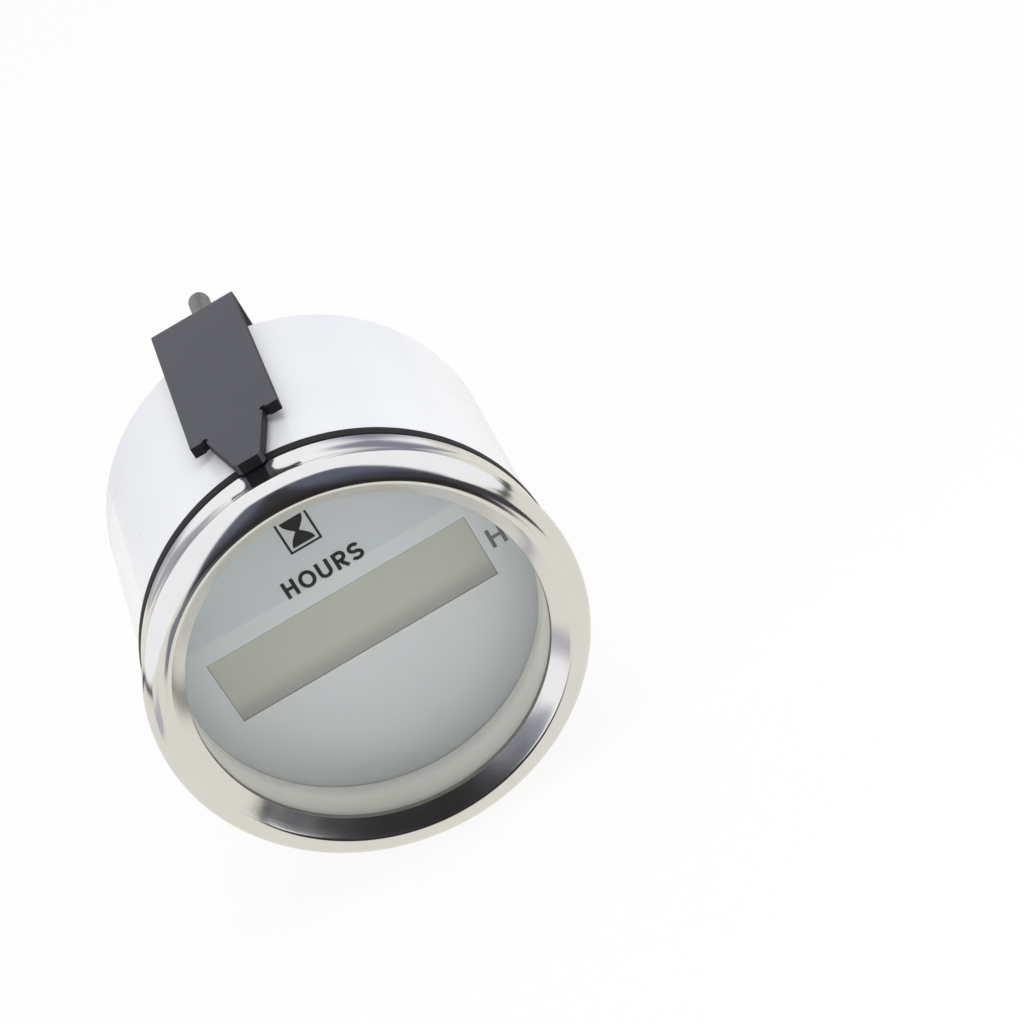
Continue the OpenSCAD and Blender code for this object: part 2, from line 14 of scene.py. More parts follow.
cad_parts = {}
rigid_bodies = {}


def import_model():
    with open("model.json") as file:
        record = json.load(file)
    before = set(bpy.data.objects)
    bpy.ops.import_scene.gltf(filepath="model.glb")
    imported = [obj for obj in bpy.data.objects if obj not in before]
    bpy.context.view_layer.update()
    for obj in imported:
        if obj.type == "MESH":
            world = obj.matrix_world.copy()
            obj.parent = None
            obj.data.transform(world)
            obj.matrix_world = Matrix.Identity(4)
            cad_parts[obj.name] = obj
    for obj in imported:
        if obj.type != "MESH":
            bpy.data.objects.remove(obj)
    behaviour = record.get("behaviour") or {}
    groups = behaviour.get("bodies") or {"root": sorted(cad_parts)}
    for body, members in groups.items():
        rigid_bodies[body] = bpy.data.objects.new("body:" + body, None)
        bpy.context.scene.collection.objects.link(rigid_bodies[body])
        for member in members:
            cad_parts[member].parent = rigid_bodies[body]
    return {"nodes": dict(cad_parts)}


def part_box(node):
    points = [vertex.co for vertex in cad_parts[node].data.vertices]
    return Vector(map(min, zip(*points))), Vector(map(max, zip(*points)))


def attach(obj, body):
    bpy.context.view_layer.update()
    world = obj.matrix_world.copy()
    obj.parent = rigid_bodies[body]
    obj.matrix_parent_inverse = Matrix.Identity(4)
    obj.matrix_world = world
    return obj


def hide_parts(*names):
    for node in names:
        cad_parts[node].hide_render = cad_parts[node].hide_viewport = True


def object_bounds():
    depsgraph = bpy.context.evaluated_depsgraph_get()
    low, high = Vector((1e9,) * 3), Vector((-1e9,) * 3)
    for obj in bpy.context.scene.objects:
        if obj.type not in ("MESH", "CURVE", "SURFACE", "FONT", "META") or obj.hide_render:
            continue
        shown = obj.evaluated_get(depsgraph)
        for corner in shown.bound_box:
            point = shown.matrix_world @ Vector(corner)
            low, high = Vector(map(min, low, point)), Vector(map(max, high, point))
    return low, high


for leftover in list(bpy.data.objects):
    bpy.data.objects.remove(leftover)
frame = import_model()
cad_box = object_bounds()
MM = 0.001


def placed(name, data):
    """A new object in the scene."""
    thing = bpy.data.objects.new(name, data)
    bpy.context.scene.collection.objects.link(thing)
    return thing


print("solids:", len(frame["nodes"]), "box in mm:", [[round(c / MM, 2) for c in p] for p in cad_box])

# %% [markdown]
# The camera comes first, because every later choice is judged through it. A pinhole fit to the circles of the
# bezel, gasket and case gave its place and roll. A Track To constraint would do as well, but a quaternion with a
# roll keeps it all in three plain numbers.

# %% Camera
CAMERA_AT = Vector((29.06, -306.59, 185.40)) * MM
LOOK_AZIMUTH, LOOK_DOWN, LOOK_ROLL = math.radians(1.08), math.radians(30.79), math.radians(30.78)
LENS_MM, NEAREST = 103.57, 10

ahead = Vector((
    -math.sin(LOOK_AZIMUTH) * math.cos(LOOK_DOWN),
    math.cos(LOOK_AZIMUTH) * math.cos(LOOK_DOWN),
    -math.sin(LOOK_DOWN),
))
camera = placed("camera", bpy.data.cameras.new("camera"))
camera.location = CAMERA_AT
camera.rotation_mode = "QUATERNION"
camera.rotation_quaternion = ahead.to_track_quat("-Z", "Y") @ Quaternion((0, 0, 1), -LOOK_ROLL)
camera.data.lens = LENS_MM
camera.data.clip_start = NEAREST * MM
bpy.context.scene.camera = camera
print("camera looks along", [round(c, 4) for c in ahead])

# %% [markdown]
# Finishes are built from nodes, and a long chain of Math nodes is hard to read as code. This small class wraps
# one output socket, so that a sum such as 1 - mask * 0.3 writes its own Math nodes. Every other node comes from
# one method, add, which sets the node's settings first, because some sockets only appear after that.

# %% A socket that does sums
class Wire:
    """One output socket of a node tree."""

    def __init__(self, socket):
        self.socket = socket

    def add(self, kind, settings, values):
        """Adds a node, sets its settings, then its sockets by name or number, and gives its first output."""
        tree = self.socket.id_data
        node = tree.nodes.new(kind)
        for name, value in settings.items():
            setattr(node, name, value)
        for key, value in values.items():
            if isinstance(key, int):
                target = node.inputs[key]
            else:
                target = next(s for s in node.inputs if s.enabled and s.name == key)
            if isinstance(value, Wire):
                tree.links.new(value.socket, target)
            else:
                target.default_value = value
        shown = [s for s in node.outputs if s.enabled]
        return Wire(shown[0]) if shown else None

    def other(self, name):
        """Another output of the same node."""
        return Wire(self.socket.node.outputs[name])

    def maths(self, operation, first, second):
        vector = any(isinstance(v, Wire) and v.socket.type == "VECTOR" for v in (first, second))
        if vector:
            first, second = ((v, v, v) if isinstance(v, (int, float)) else v for v in (first, second))
        kind = "ShaderNodeVectorMath" if vector else "ShaderNodeMath"
        return self.add(kind, {"operation": operation}, {0: first, 1: second})

    def __add__(self, value):
        return self.maths("ADD", self, value)

    def __sub__(self, value):
        return self.maths("SUBTRACT", self, value)

    def __rsub__(self, value):
        return self.maths("SUBTRACT", value, self)

    def __mul__(self, value):
        return self.maths("MULTIPLY", self, value)

    def __pow__(self, value):
        return self.maths("POWER", self, value)

    def __rpow__(self, value):
        return self.maths("POWER", value, self)

    def __gt__(self, value):
        return self.maths("GREATER_THAN", self, value)

    def __lt__(self, value):
        return self.maths("LESS_THAN", self, value)

    __radd__ = __add__
    __rmul__ = __mul__


print("sums ready:", [n for n in vars(Wire) if n.startswith("__r")])

# %% [markdown]
# A finish starts from the place on the piece, in millimetres, so that grain and scratches keep their real size on
# every piece. Generated or UV coordinates would stretch with each mesh. Colours are written as they look in an
# eight-bit picture and turned to linear light here.

# %% Helpers that every finish uses
WHITE = (1.0, 1.0, 1.0, 1.0)


def seen(red, green, blue):
    """A colour as it looks on a screen, in linear light."""
    shares = (red / 255, green / 255, blue / 255)
    linear = [c / 12.92 if c <= 0.04045 else ((c + 0.055) / 1.055) ** 2.4 for c in shares]
    return (*linear, 1.0)


def new_finish(name):
    """A new material and the place on the piece in millimetres."""
    material = bpy.data.materials.new(name)
    material.use_nodes = True
    material.node_tree.nodes.clear()
    place = Wire(material.node_tree.nodes.new("ShaderNodeTexCoord").outputs["Object"])
    return material, place * (1 / MM)


def grain(place, size, detail=2.0, stretch=(1.0, 1.0, 1.0)):
    """Soft noise whose patches are about that many millimetres wide, longer where stretch is above one."""
    squeezed = place * tuple(1 / s for s in stretch)
    return place.add("ShaderNodeTexNoise", {}, {"Vector": squeezed, "Scale": 1 / size, "Detail": detail})


def ramped(value, low, high):
    """Nought below low, one above high, and smooth between."""
    limits = {"Value": value, "From Min": low, "From Max": high}
    return value.add("ShaderNodeMapRange", {"interpolation_type": "SMOOTHSTEP"}, limits)


def mixed(mask, first, second):
    """The first colour where the mask is nought, the second where it is one."""
    return mask.add("ShaderNodeMix", {"data_type": "RGBA"}, {"Factor": mask, "A": first, "B": second})


def raised(height, depth, strength=1.0):
    """A bump of that depth in millimetres."""
    return height.add("ShaderNodeBump", {}, {"Height": height, "Distance": depth * MM, "Strength": strength})


def axes(place):
    x = place.add("ShaderNodeSeparateXYZ", {}, {"Vector": place})
    return x, x.other("Y"), x.other("Z")


def close(place, **values):
    """Ends a finish with one shader, whose sockets take these values."""
    named = {key.replace("_", " "): value for key, value in values.items()}
    shader = place.add("ShaderNodeBsdfPrincipled", {}, named)
    place.add("ShaderNodeOutputMaterial", {}, {"Surface": shader})


print("mid grey in linear light:", [round(c, 3) for c in seen(128, 128, 128)])

# %% [markdown]
# The case is moulded in glossy white plastic. Real moulded white is never one flat colour: it has faint flow
# clouding and a skin like very fine orange peel, which breaks up the edge of each highlight. A clear coat would
# be too glassy, so a soft gloss with a changing roughness does it. Other plastics, rubber and ink differ only in
# numbers, so one function makes them all.

# %% Finish: clouded, and the case in it
def clouded(name, cloud_grain, skin_grain, dark, light, dull, peel, patches=None, **more):
    """Clouded colour under a fine skin; dull is a roughness and its share of cloud, peel a depth and strength."""
    material, place = new_finish(name)
    cloud, skin = grain(place, *cloud_grain), grain(place, *skin_grain)
    close(
        place,
        Base_Color=mixed(ramped(cloud, *patches) if patches else cloud, dark, light),
        Roughness=dull[0] + cloud * dull[1],
        Normal=raised(skin, *peel),
        **more,
    )
    return material


WHITES = seen(233, 235, 240), seen(238, 239, 243)
CASE_WHITE = clouded("case_white", (9.0, 3.0), (0.45, 1.0), *WHITES, (0.24, 0.10), (0.002, 0.3))
print("finish:", CASE_WHITE.name)

# %% [markdown]
# The bezel is stainless sheet, spun to shape and polished on a wheel. That leaves hair-fine rings round the axis,
# broader bands where the wheel bore harder, a slow sway of the sheet and a few stray scratches. Rings and bands
# are noise over radius and depth alone, so they run right round. The bevel is duller than the roll. The cut edge
# at the lens opening is left dull, and its darker brownish colour is painted shade.

# %% Finish: polished bezel steel
ROLL_R, BEVEL_W, BEVEL_FADE, EDGE_FADE = 2.65, 2.4, 0.3, (0.03, 0.07)
bezel_lo, bezel_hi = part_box("bezel")
CREST_R = bezel_hi.x / MM - ROLL_R
OPEN_R = CREST_R - BEVEL_W

POLISHED_STEEL, place = new_finish("polished_steel")
x, y, z = axes(place)
radius = (x * x + z * z) ** 0.5
around = place.add("ShaderNodeCombineXYZ", {}, {"X": radius, "Y": y})
rings = grain(around, 0.05, 2.0)
bands = grain(around, 0.4, 2.0)
sway = grain(place, 6.0, 1.0)
handled = grain(place, 3.0, 3.0)
scratch = ramped(grain(place, 0.08, 0.0, (1.0, 1.0, 18.0)), 0.80, 0.85)
bevel = 1 - ramped(radius, CREST_R - BEVEL_FADE, CREST_R)
# The lens opening's cut edge: real dullness in roughness, and painted shade as a darker brownish colour.
edge = 1 - ramped(radius, *(OPEN_R + w for w in EDGE_FADE))
sheet = mixed(handled, seen(232, 231, 231), seen(240, 239, 240))
close(
    place,
    # painted shade at the lens opening's edge
    Base_Color=mixed(edge * 0.9, sheet, seen(146, 141, 128)),
    Metallic=1.0,
    Roughness=0.07 + rings * 0.05 + handled * 0.05 + bevel * 0.02 + scratch * 0.10 + edge * 0.3,
    Normal=raised(rings * 0.0006 + bands * 0.003 + sway * 0.04 + scratch * 0.001, 1.0),
)
print("finish:", POLISHED_STEEL.name)

# %% [markdown]
# The lens is flat clear glass. A refracting shader makes slow, noisy light inside a sealed gauge, and the glass is
# thin, so the light is let straight through and only the gloss is added, by Fresnel, as a real pane does. The
# gloss is left off where a ray leaves the pane, because the Fresnel node would there turn slanting light back as a
# thick prism does, and the outer side carries the gloss of both. A trace of dust keeps the pane from vanishing.

# %% Finish: lens glass
BOTH_SIDES, GLASS_IOR = 1.8, 1.45

LENS_CLEAR, place = new_finish("lens_clear")
dust = ramped(grain(place, 0.25, 1.0), 0.72, 0.80)
wiped = grain(place, 7.0, 2.0, (3.0, 1.0, 1.0))
clear = place.add("ShaderNodeBsdfTransparent", {}, {"Color": (0.99, 0.993, 0.993, 1.0)})
shine = {"Color": WHITE, "Roughness": 0.01 + wiped * 0.02}
gloss = place.add("ShaderNodeBsdfGlossy", {}, shine)
entering = 1 - place.add("ShaderNodeNewGeometry", {}, {}).other("Backfacing")
mirror = place.add("ShaderNodeFresnel", {}, {"IOR": GLASS_IOR}) * BOTH_SIDES + dust * 0.006
pane = place.add("ShaderNodeMixShader", {}, {0: mirror * entering, 1: clear, 2: gloss})
place.add("ShaderNodeOutputMaterial", {}, {"Surface": pane})
print("finish:", LENS_CLEAR.name)

# %% [markdown]
# Behind the bezel sits a black rubber gasket, and another ring seals the lens. Rubber is dark and dull with a pale
# bloom here and there, which is the clouding drawn together into patches.

# %% Finish: seal rubber
RUBBERS, BLOOM = (seen(14, 14, 15), seen(26, 26, 27)), (0.45, 0.75)
RUBBER_SKIN = (0.55, 0.15), (0.01, 0.5)
SEAL_RUBBER = clouded(
    "seal_rubber", (3.0, 3.0), (0.12, 2.0), *RUBBERS, *RUBBER_SKIN, patches=BLOOM, Specular_IOR_Level=0.3
)
print("finish:", SEAL_RUBBER.name)

# %% [markdown]
# The dial is a thin plate with a cool pale grey coat, and a pale trim ring stands on it. The coat has a very fine
# metallic speckle that only shows close up. The prints are laid as their own thin pieces later, in a dark ink, and
# the unit's letter in a paler one.

# %% Finishes: dial, trim ring and print
DIAL_GREY, place = new_finish("dial_grey")
speckle = grain(place, 0.07, 2.0)
wash = grain(place, 12.0, 2.0)
tint = mixed(wash, seen(172, 177, 179), seen(178, 182, 184))
close(
    place,
    Base_Color=mixed(ramped(speckle, 0.35, 0.75) * 0.5, tint, seen(188, 192, 194)),
    Roughness=0.42 + speckle * 0.12,
    Normal=raised(speckle, 0.003, 0.3),
)

PALE_GREYS = seen(213, 211, 205), seen(220, 218, 212)
TRIM_GREY = clouded("trim_grey", (4.0, 2.0), (0.2, 2.0), *PALE_GREYS, (0.45, 0.12), (0.006, 0.4))
SCREEN, INK_SKIN = (0.09, 2.0), ((0.5, 0.15), (0.003, 0.4), (0.4, 0.8))
PRINT_INK = clouded("print_ink", SCREEN, SCREEN, seen(27, 26, 25), seen(40, 38, 36), *INK_SKIN)
PALE_INK = clouded("pale_ink", SCREEN, SCREEN, seen(74, 76, 76), seen(88, 90, 90), *INK_SKIN)
print("finishes:", DIAL_GREY.name, TRIM_GREY.name, PRINT_INK.name, PALE_INK.name)

# %% [markdown]
# The display is a liquid crystal panel with nothing on it: a grey-green polariser under glass. Its colour carries
# painted shade, darker towards the foot of the window, and a painted shadow line along the window's lower edge.
# The change follows the height on the panel, so it stays put from any side.

# %% Finish: display film
window_lo, window_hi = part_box("lcd_glass")
WINDOW_FOOT, FOOT_SHADE, SHADOW_LINE_SPAN = -3.65, 3.6, (0.05, 0.22)

DISPLAY_FILM, place = new_finish("display_film")
z = axes(place)[2]
film = grain(place, 0.05, 1.0)
wash = grain(place, 8.0, 2.0)
# Painted shade: the film is coloured darker towards the foot of the window.
foot = 1 - ramped(z, WINDOW_FOOT, WINDOW_FOOT + FOOT_SHADE)
# Painted shadow: a fine dark line along the window's lower edge.
painted_shadow_line = 1 - ramped(z, *(WINDOW_FOOT + h for h in SHADOW_LINE_SPAN))
lit = mixed(wash, seen(151, 154, 144), seen(157, 159, 150))
shaded = mixed(foot * 0.85, lit, seen(121, 120, 119))
close(
    place,
    Base_Color=mixed(painted_shadow_line * 0.6, shaded, seen(84, 84, 80)),
    Roughness=0.32 + film * 0.1,
    Coat_Weight=0.25,
)
print("finish:", DISPLAY_FILM.name, "panel", [round(c / MM, 2) for c in window_hi - window_lo], "mm")

# %% [markdown]
# The clamp is bent from plate and coated slate grey. The coat is satin, with a fine pebble and a few tiny pale
# specks. The cut edges are coloured nearly black as painted shade. A face is a cut edge where its normal points
# along X, or forward on a leg: the legs' broad faces look up and down, and only the crossbar has a broad face
# that looks forward, so a limit in depth tells the two apart.

# %% Finish: bracket coat
CROSSBAR_FROM = 35.0

BRACKET_COAT, place = new_finish("bracket_coat")
pebble = grain(place, 0.16, 2.0)
cloud = grain(place, 11.0, 1.0)
speck = ramped(grain(place, 0.2, 0.0), 0.83, 0.86)
depth = axes(place)[1]
across, forward, _ = axes(place.add("ShaderNodeNewGeometry", {}, {}).other("True Normal"))
# Painted shade: the cut edges found here are coloured nearly black below.
side = ramped(across * across, 0.5, 0.8)
end = ramped(forward * -1, 0.6, 0.9) * (depth < CROSSBAR_FROM)
cut = ramped(side + end, 0.1, 0.9)
coat = mixed(cloud, seen(68, 69, 77), seen(74, 75, 83))
specked = mixed(speck * 0.7, coat, seen(160, 160, 162))
close(
    place,
    # painted shade on the cut edges
    Base_Color=mixed(cut * 0.9, specked, seen(9, 9, 9)),
    Roughness=0.42 + pebble * 0.10 + cut * 0.15,
    Specular_IOR_Level=0.25,
    Normal=raised(pebble, 0.004, 0.4),
)
print("finish:", BRACKET_COAT.name)

# %% [markdown]
# Nuts, washers and screws are bright zinc on steel: metal with a milky, slightly patchy shine. The studs are
# plain rolled steel, and the spring washers are darker still, as hardened steel is. Only the two colours and the
# dullness differ.

# %% Finishes: plated steel
def plated_steel(name, thin, thick, dull):
    material, place = new_finish(name)
    patch = grain(place, 1.2, 3.0)
    lines = grain(place, 0.05, 1.0, (1.0, 12.0, 1.0))
    stain = ramped(grain(place, 0.7, 2.0), 0.62, 0.78)
    close(
        place,
        Base_Color=mixed(stain * 0.5, mixed(patch, thin, thick), seen(120, 116, 108)),
        Metallic=1.0,
        Roughness=dull + patch * 0.12 + lines * 0.08,
        Normal=raised(lines, 0.002, 0.4),
    )
    return material


ZINC_STEEL = plated_steel("zinc_steel", seen(196, 196, 194), seen(212, 212, 209), 0.22)
STUD_STEEL = plated_steel("stud_steel", seen(132, 132, 132), seen(156, 156, 154), 0.34)
SPRING_STEEL = plated_steel("spring_steel", seen(112, 113, 116), seen(132, 133, 135), 0.30)
print("finishes:", ZINC_STEEL.name, STUD_STEEL.name, SPRING_STEEL.name)

# %% [markdown]
# Inside the case are the display's holder, its light guide and its contact strips. They are rarely seen, but the
# part may be opened or cut in another scene, so each has its own finish: white moulding, milky acrylic, and
# silicone with hair-fine conducting layers, which are stripes along X.

# %% Finishes: display holder, guide, strips and lamps
GUIDE_MILK, place = new_finish("guide_milk")
milk = grain(place, 2.0, 2.0)
dots = grain(place, 0.3, 1.0)
close(
    place,
    Base_Color=mixed(milk, seen(238, 240, 236), seen(248, 248, 244)),
    Roughness=0.2 + ramped(dots, 0.5, 0.7) * 0.3,
    Coat_Weight=0.3,
)

STRIP_LAYERS, place = new_finish("strip_layers")
spread = {"Vector": place, "Scale": 1.6, "Distortion": 0.2}
stripe = place.add("ShaderNodeTexWave", {"bands_direction": "X"}, spread)
cloud = grain(place, 1.0, 2.0)
close(
    place,
    Base_Color=mixed(ramped(stripe, 0.45, 0.55), seen(150, 156, 164), seen(44, 46, 50)),
    Roughness=0.55 + cloud * 0.15,
    Normal=raised(stripe, 0.01, 0.3),
)

LAMP_EPOXY, place = new_finish("lamp_epoxy")
cloud = grain(place, 0.4, 2.0)
close(
    place,
    Base_Color=mixed(cloud, seen(222, 200, 96), seen(238, 220, 130)),
    Roughness=0.25 + cloud * 0.15,
    Coat_Weight=0.4,
)

OFF_WHITES = seen(228, 228, 224), seen(238, 238, 234)
HOLDER_WHITE = clouded("holder_white", (3.0, 2.0), (0.15, 2.0), *OFF_WHITES, (0.48, 0.1), (0.006, 0.4))
print("finishes:", HOLDER_WHITE.name, GUIDE_MILK.name, STRIP_LAYERS.name, LAMP_EPOXY.name)

# %% [markdown]
# The two boards are glass-fibre laminate under green lacquer. Copper tracks show through the lacquer as a paler
# green, and the bare rim shows the straw colour of the fibre. Cells of a brick pattern give the straight runs of
# track without drawing a single one by hand.

# %% Finish: board lacquer
board_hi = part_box("display_board")[1]
BOARD_R, RIM_FADE = board_hi.x / MM, (0.06, 0.02)

BOARD_LACQUER, place = new_finish("board_lacquer")
x, _, z = axes(place)
flat = place.add("ShaderNodeCombineXYZ", {}, {"X": x, "Y": z})
cells = {"Scale": 0.55, "Brick Width": 1.1, "Row Height": 0.42}
runs = {"Vector": flat, "Mortar Size": 0.035, "Mortar Smooth": 0.2}
tracks = place.add("ShaderNodeTexBrick", {"offset": 0.37}, cells | runs).other("Fac")
weave = grain(place, 0.3, 1.0, (4.0, 1.0, 1.0))
rim = ramped((x * x + z * z) ** 0.5, *(BOARD_R - w for w in RIM_FADE))
lacquer = mixed(tracks, seen(20, 84, 44), seen(52, 122, 70))
close(
    place,
    Base_Color=mixed(rim, lacquer, seen(176, 164, 112)),
    Roughness=0.28 + weave * 0.12 + rim * 0.3,
    Normal=raised(tracks + weave * 0.3, 0.02, 0.5),
)
print("finish:", BOARD_LACQUER.name, "board radius", round(BOARD_R, 2), "mm")

# %% [markdown]
# A chip is a black moulded body with tinned leads. Both are one solid here, so the finish tells them apart by
# depth: the leads lie flat on the board, within half a millimetre of it. The chips sit on facing sides of the two
# boards, so the board's face is given as a depth along Y.

# %% Finish: chip body with tinned leads
LEAD_TOP = (0.40, 0.44)


def chip_black(name, board_face, side):
    material, place = new_finish(name)
    y = axes(place)[1]
    height = (y - board_face / MM) * side
    lead = 1 - ramped(height, *LEAD_TOP)
    matt = grain(place, 0.08, 2.0)
    tin = grain(place, 0.3, 2.0)
    body = mixed(matt, seen(34, 34, 36), seen(50, 50, 52))
    close(
        place,
        Base_Color=mixed(lead, body, mixed(tin, seen(188, 188, 184), seen(208, 208, 204))),
        Metallic=lead,
        Roughness=0.55 + matt * 0.15 - lead * 0.3,
        Normal=raised(matt, 0.006, 0.5),
    )
    return material


power_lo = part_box("power_board")[0]
DISPLAY_CHIP = chip_black("display_chip", board_hi.y, 1)
POWER_CHIP = chip_black("power_chip", power_lo.y, -1)
print("finishes:", DISPLAY_CHIP.name, POWER_CHIP.name)

# %% [markdown]
# The last few small finishes: the drawn can of the crystal, the aluminium can of the capacitor with its dark
# half-moon, gilt pins, and the black moulding of the socket and pin strips. The half-moon is a plain test of the
# height on the can's end.

# %% Finishes: cans, pins and socket
def drawn_metal(name, cloud_size, line_grain, dark, light, dull, bump):
    """Metal with fine lines along the way it was drawn."""
    material, place = new_finish(name)
    cloud, lines = grain(place, cloud_size), grain(place, *line_grain)
    close(
        place,
        Base_Color=mixed(cloud, dark, light),
        Metallic=1.0,
        Roughness=dull + lines * 0.15,
        Normal=raised(lines, *bump),
    )
    return material


capacitor_lo, capacitor_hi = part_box("reservoir_capacitor")
CAPACITOR_MID = (capacitor_lo.z + capacitor_hi.z) / 2 / MM
MOON_EDGE, FOOT_EDGE = (2.0, 2.1), (1.02, 0.98)

CAPACITOR_CAN, place = new_finish("capacitor_can")
_, y, z = axes(place)
moon = ramped(z, *(CAPACITOR_MID + h for h in MOON_EDGE))
foot = ramped(y, *(power_lo.y / MM - h for h in FOOT_EDGE))
lines = grain(place, 0.05, 1.0, (1.0, 20.0, 1.0))
dark = mixed(lines, seen(30, 32, 44), seen(44, 46, 58))
can = mixed(lines, seen(186, 188, 194), seen(204, 205, 210))
close(
    place,
    Base_Color=mixed(foot, mixed(moon, can, dark), seen(30, 30, 32)),
    Metallic=(1 - foot) * (1 - moon * 0.8),
    Roughness=0.26 + lines * 0.14 + foot * 0.25,
    Normal=raised(lines, 0.003, 0.4),
)

NICKELS = seen(198, 198, 194), seen(214, 213, 208)
GILTS = seen(214, 182, 104), seen(228, 200, 128)
BLACKS = seen(26, 26, 27), seen(36, 36, 37)
CRYSTAL_CAN = drawn_metal("crystal_can", 1.5, (0.06, 1.0, (30.0, 1.0, 1.0)), *NICKELS, 0.25, (0.003, 0.5))
GILT_PIN = drawn_metal("gilt_pin", 0.6, (0.04, 1.0, (1.0, 25.0, 1.0)), *GILTS, 0.22, (0.002, 0.4))
SOCKET_BLACK = clouded("socket_black", (1.6, 2.0), (0.1, 2.0), *BLACKS, (0.40, 0.15), (0.006, 0.5))
print("finishes:", CRYSTAL_CAN.name, CAPACITOR_CAN.name, GILT_PIN.name, SOCKET_BLACK.name)

# %% [markdown]
# Solids whose shape is already right keep their own mesh, and only take a finish. This is a table of node
# and finish, so a later change is one word.

# %% Dress the solids that stay
KEPT_SOLIDS = {
    "lens_seal": SEAL_RUBBER,
    "dial": DIAL_GREY,
    "lcd_glass": DISPLAY_FILM,
    "display_holder": HOLDER_WHITE,
    "upper_contact_strip": STRIP_LAYERS,
    "lower_contact_strip": STRIP_LAYERS,
    "light_guide": GUIDE_MILK,
    "backlight_leds": LAMP_EPOXY,
    "display_board": BOARD_LACQUER,
    "power_board": BOARD_LACQUER,
    "microcontroller": DISPLAY_CHIP,
    "memory_chip": DISPLAY_CHIP,
    "voltage_regulator": POWER_CHIP,
    "protection_diode": POWER_CHIP,
    "crystal": CRYSTAL_CAN,
    "reservoir_capacitor": CAPACITOR_CAN,
    "board_spacers": HOLDER_WHITE,
    "board_screws": ZINC_STEEL,
    "link_strips": SOCKET_BLACK,
    "link_pins": GILT_PIN,
    "socket_pins": GILT_PIN,
}
for node, material in KEPT_SOLIDS.items():
    solid = frame["nodes"][node].data
    solid.materials.clear()
    solid.materials.append(material)
print("solids kept with a new finish:", len(KEPT_SOLIDS))

# %% [markdown]
# Everything else is a finer mesh that stands for its solid. Each one is linked, smoothed and hung on its body in
# the same way, so one function does that. Smooth shading with sharp edges marked by angle keeps flat faces flat
# and round faces round.

# %% Put a finished mesh in the scene
CREASE, ROUND_CREASE, THREAD_CREASE = 24, 60, 50


def fit(name, mesh_work, material, body, stands_for=(), crease=CREASE):
    """Turns the mesh work into a piece that rides on a body and stands for solids."""
    bmesh.ops.recalc_face_normals(mesh_work, faces=mesh_work.faces[:])
    mesh = bpy.data.meshes.new(name)
    mesh_work.to_mesh(mesh)
    mesh_work.free()
    stale = mesh.attributes.get("custom_normal")
    if stale:
        mesh.attributes.remove(stale)
    mesh.shade_smooth()
    mesh.set_sharp_from_angle(angle=math.radians(crease))
    mesh.materials.clear()
    mesh.materials.append(material)
    piece = placed(name, mesh)
    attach(piece, body)
    if stands_for:
        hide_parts(*stands_for)
    print("piece:", name, len(mesh.polygons), "faces on", body)
    return piece


print("edges stay sharp from", CREASE, "degrees, on round pieces from", ROUND_CREASE)

# %% [markdown]
# Round pieces are turned, so in Blender they are spun: one half outline of radius and depth, swept about the
# axis. The outline is written in millimetres. Helpers make the outlines: part of an ellipse, an arc, a soft bend,
# and a polygon with such a bend at each corner, because no real edge is perfectly sharp and the eased edge is what
# catches the light.

# %% Outlines and spinning
EASE_STEPS, SAME_SPOT = 4, 1e-7


def sweep(centre, half_w, half_h, start, end, steps=18):
    """Points on an ellipse; nought degrees points along the first axis and ninety along the second."""
    turns = [math.radians(start + (end - start) * i / steps) for i in range(steps + 1)]
    return [(centre[0] + half_w * math.cos(a), centre[1] + half_h * math.sin(a)) for a in turns]


def arc(centre, radius, start, end, steps):
    """Points on an arc; nought degrees points outward and ninety to the rear."""
    return sweep(centre, radius, radius, start, end, steps)


def bent(first, middle, last, shares):
    """Points on a soft bend from first to last, drawn towards the middle."""
    return [tuple(first * (1 - t) ** 2 + middle * 2 * t * (1 - t) + last * t * t) for t in shares]


def eased(corners, radius, steps=EASE_STEPS):
    """A closed outline through these corners, with each corner rounded."""
    outline = []
    for before, corner, after in zip(corners[-1:] + corners[:-1], corners, corners[1:] + corners[:1]):
        middle = Vector(corner)
        back, on = Vector(before) - middle, Vector(after) - middle
        reach = min(radius, 0.45 * back.length, 0.45 * on.length)
        first, last = middle + back.normalized() * reach, middle + on.normalized() * reach
        outline += bent(first, middle, last, [i / steps for i in range(steps + 1)])
    return outline


def spun(outline, turns):
    """Mesh work of a closed outline swept about the gauge's axis."""
    work = bmesh.new()
    points = [work.verts.new((r * MM, y * MM, 0)) for r, y in outline]
    pairs = zip(points, points[1:] + points[:1])
    sides = [work.edges.new(p) for p in pairs if max(p[0].co.x, p[1].co.x) > SAME_SPOT]
    bmesh.ops.spin(work, geom=points + sides, axis=(0, 1, 0), cent=(0, 0, 0), angle=2 * math.pi, steps=turns)
    bmesh.ops.remove_doubles(work, verts=work.verts[:], dist=SAME_SPOT)
    return work


print("an eased square has", len(eased([(0, 0), (1, 0), (1, 1), (0, 1)], 0.1)), "points")

# %% [markdown]
# The bezel is one sheet: a straight bevel drops from the crest to the lens opening, a roll turns over to the side,
# a fine crease meets the flared wall, and the rear lip is rolled into the case. The crest between bevel and roll is
# rounded, as bent sheet is. The mirror finish shows every facet, so it is spun in 384 steps from true arcs.

